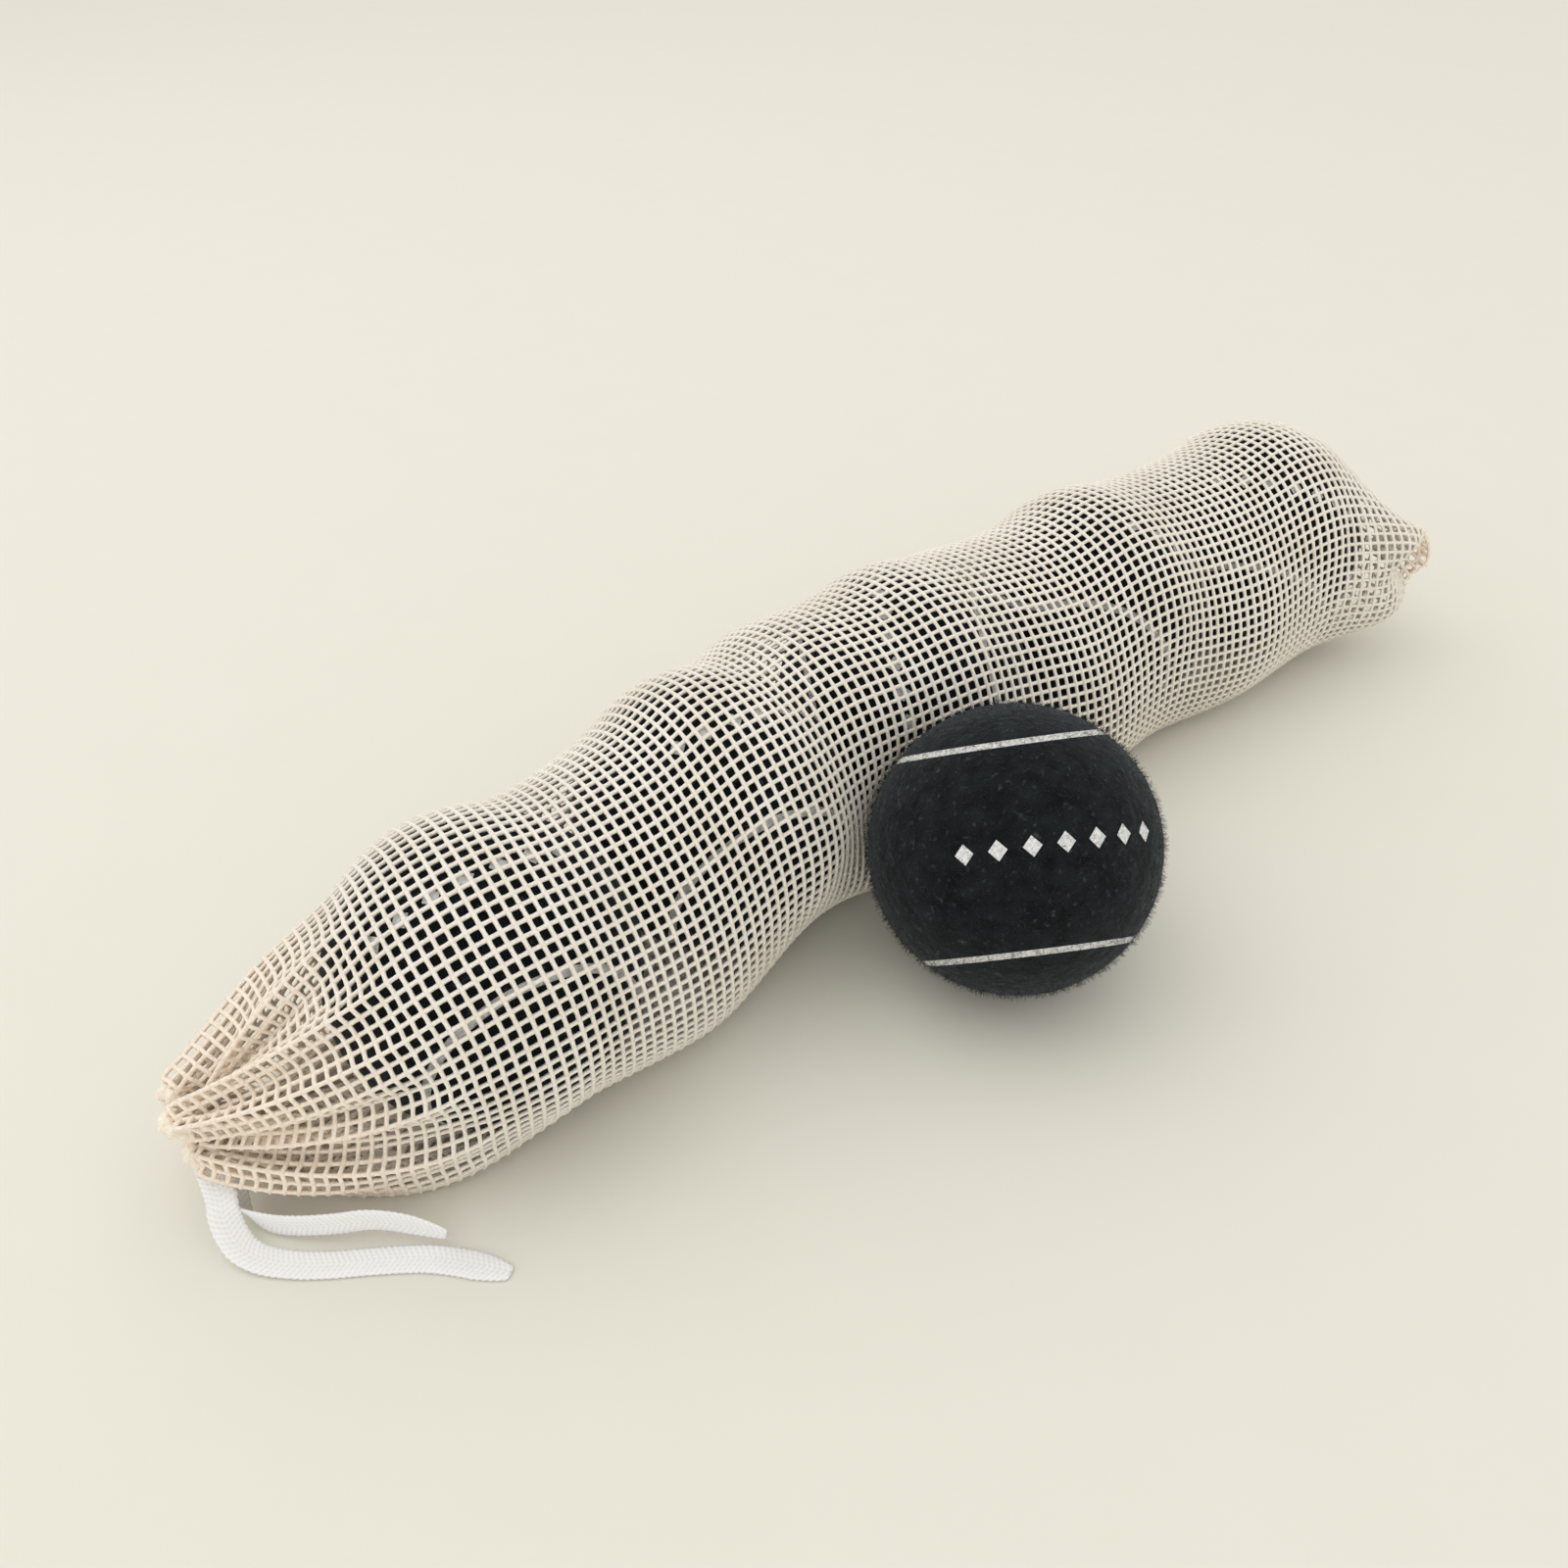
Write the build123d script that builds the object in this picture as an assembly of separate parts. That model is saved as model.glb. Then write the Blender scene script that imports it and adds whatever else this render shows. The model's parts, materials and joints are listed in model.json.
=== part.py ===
"""Set of six felt laundry dryer balls: five in a drawn-up cotton net bag and one loose beside it.

Millimetres, +Z up.  +X runs along the bag from its mouth to its sewn bottom, and the loose ball
lies on the -Y side.  The origin is on the floor, under the middle of the set without its cords.
"""

from build123d import *

import math
import os

# ---- ball: a pressureless rubber core, two felt panels and the seam between them ----
ball_radius = 32.5
felt_thickness = 3.0
core_wall = 3.5
bond_thickness = 0.3
seam_width = 2.0
seam_recess = 0.15
seam_waist = 0.672
seam_arcs = 8
seam_arc_spans = 6
seam_wall_margin = 1.0
mark_count = 7
mark_spacing_deg = 12.3
mark_offset_deg = 19.0
mark_height = 4.4
mark_width = 4.0
mark_thickness = 0.1
mark_lift = 0.03

# ---- net: one knotted cotton tube, drawn over the five balls ----
net_thickness = 0.8
net_clearance = 0.4
ball_gap = 2.2
link_heading_deg = {"12": 7.0, "23": 3.4, "34": -4.8, "45": -5.6}
neck_seat_deg = 50.0
cell_open_deg = 24.0
neck_clearance = 0.4
neck_waist_drop = 2.1

# ---- mouth: the net gathered on its drawstring ----
mouth_heading_deg = 164.0
mouth_drop_deg = 12.3
mouth_stand_out = 30.3
mouth_taper_deg = 20.5
gather_length = 6.0
hem_ring_radius = 4.2
hem_tube_radius = 3.2
channel_radius = 1.8
cord_radius = 1.0
eyelet_clearance = 0.25
eyelet_lead = {"arched": 13.0, "flat": 14.0}
eyelet_turn_deg = {"arched": 16.0, "flat": 48.0}

# ---- bottom of the bag: a flat sewn seam that leaves two corners standing out ----
tail_start = 10.0
ear_spread_deg = 41.0
ear_stand_out = 13.8
ear_tip_radius = 2.0
ear_root_radius = 9.5
ear_root_depth = 4.7
bottom_seam_radius = 1.2
bottom_seam_spread_deg = 23.0

# ---- the loose ball beside the bag ----
loose_bearing_deg = 246.4
loose_gap = 0.4

# Where each ball's marked face looks: azimuth, elevation and turn about that direction.
ball_facing_deg = {
    "1": (205.0, 62.0, 10.0),
    "2": (250.0, 70.0, -35.0),
    "3": (222.0, 38.0, 60.0),
    "4": (300.0, 15.0, 60.0),
    "5": (265.0, 40.0, 95.0),
    "loose": (218.8, 39.3, -33.0),
}

# Free ends of the drawstring, from their eyelets down to the floor, measured from the floor
# under the hem's centre.  The first strand stands on its edge and arches, and the second lies flat.
strand_points = {
    "arched": [
        (0.4, -11.6, 4.0),
        (2.4, -19.1, 3.4),
        (10.9, -29.1, 5.4),
        (20.9, -36.1, 6.2),
        (27.9, -45.6, 3.4),
    ],
    "flat": [
        (-3.6, -14.6, 5.0),
        (-3.1, -22.1, 1.1),
        (4.9, -31.6, 1.0),
        (16.4, -40.1, 1.0),
        (26.4, -48.6, 1.0),
        (33.1, -59.7, 1.0),
    ],
}

# ---- sizes that follow from the ones above ----
felt_inner = ball_radius - felt_thickness
core_inner = felt_inner - core_wall
net_inner = ball_radius + net_clearance
net_outer = net_inner + net_thickness
bag_height = net_outer
ball_pitch = 2 * ball_radius + ball_gap
mouth_length = net_outer + mouth_stand_out
ear_reach = net_outer + ear_stand_out
ear_root_reach = net_outer - ear_root_depth
hub_rim_radius = (net_outer + neck_clearance) * math.sin(math.radians(neck_seat_deg))
neck_waist_radius = hub_rim_radius - neck_waist_drop


def heading(angle_deg, rise_deg=0.0):
    """Unit vector at a compass angle from +X, raised above the floor."""
    plan = math.cos(math.radians(rise_deg))
    x = plan * math.cos(math.radians(angle_deg))
    y = plan * math.sin(math.radians(angle_deg))
    return Vector(x, y, math.sin(math.radians(rise_deg)))


def ball_centres():
    """Centres of the five bagged balls and the loose one, from under the middle ball."""
    centre = {"3": Vector(0, 0, bag_height)}
    centre["4"] = centre["3"] + heading(link_heading_deg["34"]) * ball_pitch
    centre["5"] = centre["4"] + heading(link_heading_deg["45"]) * ball_pitch
    centre["2"] = centre["3"] - heading(link_heading_deg["23"]) * ball_pitch
    centre["1"] = centre["2"] - heading(link_heading_deg["12"]) * ball_pitch
    reach = net_outer + ball_radius + loose_gap
    plan_reach = math.sqrt(reach**2 - (bag_height - ball_radius) ** 2)
    loose = heading(loose_bearing_deg) * plan_reach
    centre["loose"] = Vector(loose.X, loose.Y, ball_radius)
    return centre


centres = ball_centres()
mouth_axis = heading(mouth_heading_deg, -mouth_drop_deg)


def along(axis, origin):
    """Plane whose X axis is the given direction, for shapes turned about X."""
    side = Vector(0, 0, 1).cross(axis).normalized()
    return Plane(origin=origin, x_dir=axis, z_dir=axis.cross(side))


# ---- ball pieces, all made about the ball's own centre ----


def seam_point(way, half_angle, radius):
    """Point beside the seam, on a sphere, at a way round it counted in quarters from 0 to 4.

    Each quarter is a circle on the ball about its own axis.  It passes a quarter point of the
    ball's equator at each end, and midway it is seam_waist of the radius from the panel's middle.
    """
    quarter = int(way)
    side = 1 if quarter % 2 == 0 else -1
    lean = (math.cos(math.radians(45)) - seam_waist) / math.sqrt(1 - seam_waist**2)
    axis = (heading(45 + 90 * quarter) + Vector(0, 0, side * lean)).normalized()
    start = heading(90 * quarter)
    outward = (start - axis * start.dot(axis)).normalized()
    middle = (Vector(0, 0, side) - axis * axis.Z * side).normalized()
    half_run = math.radians(outward.get_angle(middle))
    upward = (middle - outward * middle.dot(outward)).normalized()
    turn = 2 * half_run * (way - quarter)
    opening = math.acos(start.dot(axis)) + side * half_angle
    rim = outward * math.cos(turn) + upward * math.sin(turn)
    return (axis * math.cos(opening) + rim * math.sin(opening)) * radius


def corner_edge(ways, half_angle, radius):
    """One edge of the seam's ring, smooth through the given ways round the ball."""
    return Edge.make_spline([seam_point(way, half_angle, radius) for way in ways])


def seam_wall():
    """Closed ring of ruled faces that holds the seam line, standing past both felt faces."""
    half_angle = seam_width / 2 / ball_radius
    deep = felt_inner - seam_wall_margin
    high = ball_radius + seam_wall_margin
    corners = [(-half_angle, deep), (half_angle, deep), (half_angle, high), (-half_angle, high)]
    step = 4 / (seam_arcs * seam_arc_spans)
    faces = []
    for arc in range(seam_arcs):
        ways = [step * (arc * seam_arc_spans + i) % 4 for i in range(seam_arc_spans + 1)]
        edges = [corner_edge(ways, angle, radius) for angle, radius in corners]
        faces += [Face.make_surface_from_curves(edges[i], edges[(i + 1) % 4]) for i in range(4)]
    return Solid(Shell(faces))


def hollow_sphere(outer, inner):
    return Sphere(outer) - Sphere(inner)


def felt_and_seam():
    """Two dog-bone felt panels and the seam filler between them."""
    wall = seam_wall()
    panels = (Rot(Z=45) * hollow_sphere(ball_radius, felt_inner) - wall).solids()
    panels = sorted(panels, key=lambda solid: solid.center().Z)
    seam = Rot(Z=45) * hollow_sphere(ball_radius - seam_recess, felt_inner) & wall
    return panels[0], panels[-1], seam


def core_half(side):
    """One moulded half of the hollow rubber core, up to the bond line."""
    shell = hollow_sphere(felt_inner, core_inner)
    keep = Keep.TOP if side > 0 else Keep.BOTTOM
    return split(shell, Plane.XY.offset(side * bond_thickness / 2), keep)


def core_bond():
    """Ring of adhesive between the core halves."""
    ring = hollow_sphere(felt_inner, core_inner)
    return ring & Box(2 * ball_radius, 2 * ball_radius, bond_thickness)


def face_mark():
    """Row of small flat diamonds on the felt, midway between two runs of the seam."""
    across = Plane(origin=(0, 0, 0), x_dir=(-1, 1, 0), z_dir=(0, 0, 1))
    half_w = mark_width / 2
    half_h = mark_height / 2
    outline = Polyline((half_w, 0), (0, half_h), (-half_w, 0), (0, -half_h), close=True)
    tile = Pos(0, 0, ball_radius + mark_lift) * extrude(make_face(outline), mark_thickness)
    turns = [mark_offset_deg + (i - (mark_count - 1) / 2) * mark_spacing_deg for i in range(mark_count)]
    return Compound(children=[across * Rot(Y=turn) * tile for turn in turns])


def ball_pieces():
    """Every piece of one ball, by name."""
    panel_a, panel_b, seam = felt_and_seam()
    return {
        "core_upper": core_half(1),
        "core_lower": core_half(-1),
        "core_bond": core_bond(),
        "felt_panel_a": panel_a,
        "felt_panel_b": panel_b,
        "seam": seam,
        "face_mark": face_mark(),
    }


def ball_place(key):
    """Where one ball stands, and how it has come to lie."""
    azimuth, elevation, turn = ball_facing_deg[key]
    return Pos(centres[key]) * Rot(Z=azimuth) * Rot(Y=90 - elevation) * Rot(Z=turn)


# ---- bag pieces ----


def net_cell(key, cuts):
    """Net stretched over one ball, cut off square to each (direction, distance)."""
    cell = hollow_sphere(net_outer, net_inner)
    for axis, distance in cuts:
        plane = Plane(origin=axis * distance, z_dir=axis)
        cell = split(cell, plane, Keep.BOTTOM)
    return Pos(centres[key]) * cell


def net_neck(link, hub_key, toward):
    """Net between two balls: it slides round the hub ball's cell and is fixed to the next one."""
    seat = math.radians(neck_seat_deg)
    hub_reach = net_outer + neck_clearance
    hub_s = hub_reach * math.cos(seat)
    hub_r = hub_reach * math.sin(seat)
    far_s = ball_pitch - net_outer * math.cos(seat)
    far_outer = net_outer * math.sin(seat)
    far_inner = math.sqrt(net_inner**2 - (net_outer * math.cos(seat)) ** 2)
    mid_s = ball_pitch / 2
    inner = ThreePointArc((hub_s, hub_r), (mid_s, neck_waist_radius), (far_s, far_inner))
    waist_outer = neck_waist_radius + net_thickness
    outer = ThreePointArc((far_s, far_outer), (mid_s, waist_outer), (hub_s, hub_r + net_thickness))
    far_end = Line((far_s, far_inner), (far_s, far_outer))
    hub_end = Line((hub_s, hub_r + net_thickness), (hub_s, hub_r))
    ring = revolve(make_face([inner, far_end, outer, hub_end]), Axis.X)
    axis = heading(link_heading_deg[link]) * toward
    return along(axis, centres[hub_key]) * ring


def taper_start():
    """Distance from ball 1's centre at which the mouth's cone leaves its net cell."""
    return net_outer * math.sin(math.radians(mouth_taper_deg))


def hem_place():
    """Frame at the gathered hem, with its X axis along the mouth."""
    return along(mouth_axis, centres["1"] + mouth_axis * mouth_length)


def net_mouth():
    """Net from the last ball to the gathered hem: a cone, then a short steep gather."""
    slope = math.tan(math.radians(mouth_taper_deg))
    start_s = taper_start()
    start_outer = math.sqrt(net_outer**2 - start_s**2)
    start_inner = math.sqrt(net_inner**2 - start_s**2)
    turn_s = mouth_length - gather_length
    turn_outer = start_outer - (turn_s - start_s) * slope
    turn_inner = start_inner - (turn_s - start_s) * slope
    end_outer = hem_ring_radius + net_thickness
    outline = Polyline(
        (start_s, start_inner),
        (start_s, start_outer),
        (turn_s, turn_outer),
        (mouth_length, end_outer),
        (mouth_length, end_outer - net_thickness),
        (turn_s - net_thickness, turn_inner),
        close=True,
    )
    cone = along(mouth_axis, centres["1"]) * revolve(make_face(outline), Axis.X)
    return cone - hem_place() * Rot(Y=90) * Torus(hem_ring_radius, hem_tube_radius)


def eyelet_direction(strand):
    """Outward direction of a strand's eyelet, turned in the hem's plane from its lowest point."""
    down = (Vector(0, 0, -1) - mouth_axis * Vector(0, 0, -1).dot(mouth_axis)).normalized()
    across = mouth_axis.cross(down)
    turn = math.radians(eyelet_turn_deg[strand])
    return down * math.cos(turn) + across * math.sin(turn)


def hem_point(strand, reach):
    """Point on a strand's eyelet axis, at a reach from the hem's centre."""
    return centres["1"] + mouth_axis * mouth_length + eyelet_direction(strand) * reach


def mouth_hem():
    """Stitched channel round the mouth, with an eyelet for each end of the drawstring."""
    ring = Torus(hem_ring_radius, hem_tube_radius) - Torus(hem_ring_radius, channel_radius)
    hem = hem_place() * Rot(Y=90) * ring
    for strand in strand_points:
        plane = Plane(origin=hem_point(strand, hem_ring_radius), z_dir=eyelet_direction(strand))
        bore = Cylinder(
            cord_radius + eyelet_clearance,
            2 * hem_tube_radius,
            align=(Align.CENTER, Align.CENTER, Align.MIN),
        )
        hem -= plane * bore
    return hem


def drawstring_loop():
    """Stretch of the drawstring that lies in the hem's channel."""
    return hem_place() * Rot(Y=90) * Torus(hem_ring_radius, cord_radius)


def drawstring_route(strand):
    """Route of one free end: straight out through its eyelet, then over the chosen points."""
    out = [hem_point(strand, hem_ring_radius + cord_radius), hem_point(strand, eyelet_lead[strand])]
    hem = hem_point(strand, 0)
    foot = Vector(hem.X, hem.Y, 0)
    return out + [foot + Vector(*point) for point in strand_points[strand]]


def bend_radii(route):
    """Largest tangent arc that each inner point of a route allows."""
    radii = []
    for before, point, after in zip(route, route[1:], route[2:]):
        run = min((point - before).length, (after - point).length)
        turn = math.radians((point - before).get_angle(after - point))
        radii.append(0.45 * run / math.tan(turn / 2))
    return radii


def drawstring_end(strand):
    """One free end of the drawstring, as a plain tube of straight runs and tangent arcs."""
    route = drawstring_route(strand)
    radii = bend_radii(route)
    path = FilletPolyline(*route, radius=radii)
    section = Plane(origin=path @ 0, z_dir=path % 0) * Circle(cord_radius)
    tube = sweep(section, path=path)
    share = tube.volume / (math.pi * cord_radius**2 * path.length)
    print(strand, "length", round(path.length, 1), "bends", [round(radius, 1) for radius in radii])
    print(strand, "volume over section times length", round(share, 4))
    return tube


def tail_ear(side):
    """Corner of the bag's bottom seam, drawn out beyond the last ball."""
    axis = heading(link_heading_deg["45"] + side * ear_spread_deg)
    cone = Cone(
        ear_root_radius,
        ear_tip_radius,
        ear_reach - ear_root_reach,
        align=(Align.CENTER, Align.CENTER, Align.MIN),
    )
    return Plane(origin=axis * ear_root_reach, z_dir=axis) * cone


def net_tail():
    """Closed bottom of the bag over the last ball, with its two corners."""
    axis = heading(link_heading_deg["45"])
    plane = Plane(origin=axis * tail_start, z_dir=axis)
    cap = split(hollow_sphere(net_outer, net_inner), plane, Keep.TOP)
    for side in (1, -1):
        cap += tail_ear(side) - Sphere((net_inner + net_outer) / 2)
    return Pos(centres["5"]) * cap


def bottom_seam():
    """Oversewn ridge that closes the bag between its two corners, seated on the net."""
    foot_r = net_outer - bottom_seam_radius**2 / (2 * net_outer)
    foot_z = math.sqrt(net_outer**2 - foot_r**2)
    seat = ThreePointArc((foot_r, -foot_z), (net_outer, 0), (foot_r, foot_z))
    crown = ThreePointArc((foot_r, foot_z), (net_outer + bottom_seam_radius, 0), (foot_r, -foot_z))
    section = Plane.XZ * make_face([seat, crown])
    ridge = revolve(section, Axis.Z, 2 * bottom_seam_spread_deg)
    start = link_heading_deg["45"] - bottom_seam_spread_deg
    return Pos(centres["5"]) * Rot(Z=start) * ridge


def bag_pieces():
    """Every piece of the net bag and its drawstring, by name."""
    seat = net_outer * math.cos(math.radians(neck_seat_deg))
    rim = net_outer * math.cos(math.radians(cell_open_deg))
    way = {link: heading(angle) for link, angle in link_heading_deg.items()}
    return {
        "net_cell_1": net_cell("1", [(way["12"], seat), (mouth_axis, taper_start())]),
        "net_cell_2": net_cell("2", [(way["23"], seat), (-way["12"], rim)]),
        "net_cell_3": net_cell("3", [(way["34"], rim), (-way["23"], rim)]),
        "net_cell_4": net_cell("4", [(-way["34"], seat), (way["45"], rim)]),
        "net_cell_5": net_cell("5", [(-way["45"], seat), (way["45"], tail_start)]),
        "net_neck_12": net_neck("12", "2", -1),
        "net_neck_23": net_neck("23", "3", -1),
        "net_neck_34": net_neck("34", "3", 1),
        "net_neck_45": net_neck("45", "4", 1),
        "net_mouth": net_mouth(),
        "mouth_hem": mouth_hem(),
        "net_tail": net_tail(),
        "bottom_seam": bottom_seam(),
        "drawstring_loop": drawstring_loop(),
    }


def cord_pieces():
    """The drawstring's two free ends."""
    return {f"drawstring_end_{strand}": drawstring_end(strand) for strand in strand_points}


def all_pieces():
    """Every named piece, measured from under the middle ball."""
    pieces = bag_pieces()
    ball = ball_pieces()
    for key in centres:
        for piece, solid in ball.items():
            pieces[f"ball_{key}_{piece}"] = ball_place(key) * solid
    return pieces


rigid = all_pieces()
boxes = [piece.bounding_box() for piece in rigid.values()]
middle_x = (min(box.min.X for box in boxes) + max(box.max.X for box in boxes)) / 2
middle_y = (min(box.min.Y for box in boxes) + max(box.max.Y for box in boxes)) / 2
to_origin = Pos(-middle_x, -middle_y, 0)

os.makedirs("parts", exist_ok=True)
for name, piece in {**rigid, **cord_pieces()}.items():
    export_step(to_origin * piece, f"parts/{name}.step")
print("from under the middle ball to the origin", round(middle_x, 3), round(middle_y, 3))
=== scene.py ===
"""Felt dryer balls in a cotton net drawstring bag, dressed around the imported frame.

Metres, in the row frame: +X along the bag from its mouth to its sewn bottom, +Z up.
"""

import json
import logging
import math
from dataclasses import dataclass, field
from enum import Enum

import bmesh
import bpy
import numpy as np
from mathutils import Matrix, Vector


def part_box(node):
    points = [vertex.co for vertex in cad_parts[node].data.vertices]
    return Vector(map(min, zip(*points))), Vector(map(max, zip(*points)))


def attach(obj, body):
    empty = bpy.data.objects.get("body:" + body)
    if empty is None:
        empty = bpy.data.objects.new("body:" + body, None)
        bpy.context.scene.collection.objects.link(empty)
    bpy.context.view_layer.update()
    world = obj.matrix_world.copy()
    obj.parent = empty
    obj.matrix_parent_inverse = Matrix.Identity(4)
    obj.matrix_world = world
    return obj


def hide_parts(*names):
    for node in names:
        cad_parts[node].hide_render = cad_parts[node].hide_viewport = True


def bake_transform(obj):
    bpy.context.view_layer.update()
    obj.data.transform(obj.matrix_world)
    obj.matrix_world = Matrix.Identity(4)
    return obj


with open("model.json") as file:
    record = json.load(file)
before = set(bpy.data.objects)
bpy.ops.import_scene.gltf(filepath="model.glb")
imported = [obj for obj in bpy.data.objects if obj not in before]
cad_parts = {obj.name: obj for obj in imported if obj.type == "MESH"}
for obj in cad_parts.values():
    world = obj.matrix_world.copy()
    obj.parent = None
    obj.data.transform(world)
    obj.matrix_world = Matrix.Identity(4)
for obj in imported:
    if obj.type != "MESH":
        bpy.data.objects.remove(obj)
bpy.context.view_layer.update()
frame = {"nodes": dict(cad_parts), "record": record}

LOG = logging.getLogger("dryer_balls")
UP = np.array((0.0, 0.0, 1.0))
BAGGED = ("1", "2", "3", "4", "5")
LOOSE = "loose"
MM = 0.001
TURN = 2 * math.pi

Colour = tuple[float, float, float]
Point = tuple[float, float, float]


class Thread(Enum):
    """The two ways that a cord of the net runs."""

    ALONG = "along"
    ROUND = "round"


class Lay(Enum):
    """How a free end of the drawstring meets the floor."""

    ON_EDGE = "arched"
    FLAT = "flat"


# ---- small vector and mesh helpers ----


def unit(vector: np.ndarray) -> np.ndarray:
    """Vector, or row of vectors, at length one."""
    return vector / np.maximum(np.linalg.norm(vector, axis=-1, keepdims=True), 1e-12)


def square_to(vector: np.ndarray, axis: np.ndarray) -> np.ndarray:
    """Unit part of a vector, or row of vectors, that is square to an axis."""
    return unit(vector - axis * np.sum(vector * axis, axis=-1, keepdims=True))


def smooth(share: np.ndarray) -> np.ndarray:
    """Smooth step from 0 to 1 of shares that may pass either end."""
    share = np.clip(share, 0, 1)
    return share * share * (3 - 2 * share)


def between(value: np.ndarray, start: float, end: float) -> np.ndarray:
    """Share of the way from start to end, smoothed and held at the ends."""
    return smooth((value - start) / (end - start))


def new_mesh(
    name: str,
    points: np.ndarray,
    edges: np.ndarray | None = None,
    faces: list[tuple[int, ...]] | None = None,
) -> bpy.types.Object:
    """Object in the scene from plain lists of points, edges and faces.

    Args:
        name: Name of the object and of its mesh.
        points: Places of the vertices, one row each.
        edges: Pairs of vertex numbers, for a wire.
        faces: Loops of vertex numbers.

    Returns:
        The new object, at the origin.
    """
    mesh = bpy.data.meshes.new(name)
    wires = [] if edges is None else edges.tolist()
    mesh.from_pydata(points.tolist(), wires, faces or [])
    mesh.update()
    made = bpy.data.objects.new(name, mesh)
    bpy.context.scene.collection.objects.link(made)
    return made


def set_values(mesh: bpy.types.Mesh, name: str, values: np.ndarray) -> None:
    """Stores one number for each vertex under a name."""
    attribute = mesh.attributes.new(name, "FLOAT", "POINT")
    attribute.data.foreach_set("value", np.asarray(values, np.float32).ravel())


def tube_faces(rings: int, sides: int) -> list[tuple[int, ...]]:
    """Faces of a tube whose rings of points follow one another, with both ends capped.

    Args:
        rings: Number of rings.
        sides: Points in each ring.

    Returns:
        Loops of vertex numbers.
    """
    faces: list[tuple[int, ...]] = []
    for ring in range(rings - 1):
        low = ring * sides
        high = low + sides
        for side in range(sides):
            after = (side + 1) % sides
            faces.append((low + side, low + after, high + after, high + side))
    last = (rings - 1) * sides
    faces.append(tuple(reversed(range(sides))))
    faces.append(tuple(last + side for side in range(sides)))
    return faces


# ---- shader and geometry trees ----


class Tree:
    """Short way to add and join nodes in one node tree."""

    def __init__(self, nodes: bpy.types.NodeTree) -> None:
        """Keeps the tree that is worked on."""
        self.tree = nodes

    def add(self, kind: str, inputs: dict | None = None, **settings: object) -> bpy.types.Node:
        """Adds a node.

        Args:
            kind: Blender's name for the kind of node.
            inputs: For each socket, by name or number, a value or the socket that feeds it.
            settings: Properties of the node.

        Returns:
            The new node.
        """
        node = self.tree.nodes.new(kind)
        for name, value in settings.items():
            setattr(node, name, value)
        for key, value in (inputs or {}).items():
            if isinstance(value, bpy.types.NodeSocket):
                self.tree.links.new(value, node.inputs[key])
            else:
                node.inputs[key].default_value = value
        return node

    def noise(
        self, where: bpy.types.NodeSocket, scale: float, detail: float = 2.0
    ) -> bpy.types.NodeSocket:
        """Noise value at a scale, in waves a metre."""
        made = self.add("ShaderNodeTexNoise", {"Vector": where, "Scale": scale, "Detail": detail})
        return made.outputs["Fac"]

    def ramp(
        self, value: bpy.types.NodeSocket, stops: list[tuple[float, Colour]]
    ) -> bpy.types.NodeSocket:
        """Colour looked up from a value.

        Args:
            value: Socket that gives the value.
            stops: Places from 0 to 1, each with its colour.

        Returns:
            Socket that gives the colour.
        """
        made = self.add("ShaderNodeValToRGB", {"Fac": value})
        line = made.color_ramp.elements
        while len(line) < len(stops):
            line.new(0.5)
        for element, (place, colour) in zip(line, stops):
            element.position = place
            element.color = (*colour, 1)
        return made.outputs["Color"]

    def math(self, operation: str, *values: object) -> bpy.types.NodeSocket:
        """Result of one sum on values or sockets."""
        made = self.add("ShaderNodeMath", dict(enumerate(values)), operation=operation)
        return made.outputs["Value"]

    def mix(
        self, share: object, first: object, second: object, blend: str = "MIX"
    ) -> bpy.types.NodeSocket:
        """Colour between two others.

        Args:
            share: Share of the second colour, as a value or a socket.
            first: First colour, as a value or a socket.
            second: Second colour, as a value or a socket.
            blend: Blender's name for the way that they are mixed.

        Returns:
            Socket that gives the mixed colour.
        """
        made = self.add("ShaderNodeMix", data_type="RGBA", blend_type=blend)
        for index, value in ((0, share), (6, first), (7, second)):
            if isinstance(value, bpy.types.NodeSocket):
                self.tree.links.new(value, made.inputs[index])
            else:
                made.inputs[index].default_value = value
        return made.outputs[2]

    def bump(
        self, height: bpy.types.NodeSocket, distance: float, strength: float
    ) -> bpy.types.NodeSocket:
        """Normal raised by a height."""
        sizes = {"Height": height, "Distance": distance, "Strength": strength}
        return self.add("ShaderNodeBump", sizes).outputs["Normal"]

    def feed(self, source: bpy.types.NodeSocket, node: bpy.types.Node, socket: str) -> None:
        """Joins a socket to a node's named input."""
        self.tree.links.new(source, node.inputs[socket])


def set_inputs(shader: bpy.types.Node, values: dict[str, object]) -> None:
    """Sets plain values on a shader's own inputs, by name."""
    for name, value in values.items():
        shader.inputs[name].default_value = value


def start_material(
    name: str,
) -> tuple[bpy.types.Material, Tree, bpy.types.Node, bpy.types.NodeSocket]:
    """Starts a material on object coordinates.

    Args:
        name: Name of the material.

    Returns:
        The material, its tree, its shader and the socket that gives object coordinates.
    """
    material = bpy.data.materials.new(name)
    material.use_nodes = True
    tree = Tree(material.node_tree)
    shader = material.node_tree.nodes["Principled BSDF"]
    where = tree.add("ShaderNodeTexCoord").outputs["Object"]
    return material, tree, shader, where


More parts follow.
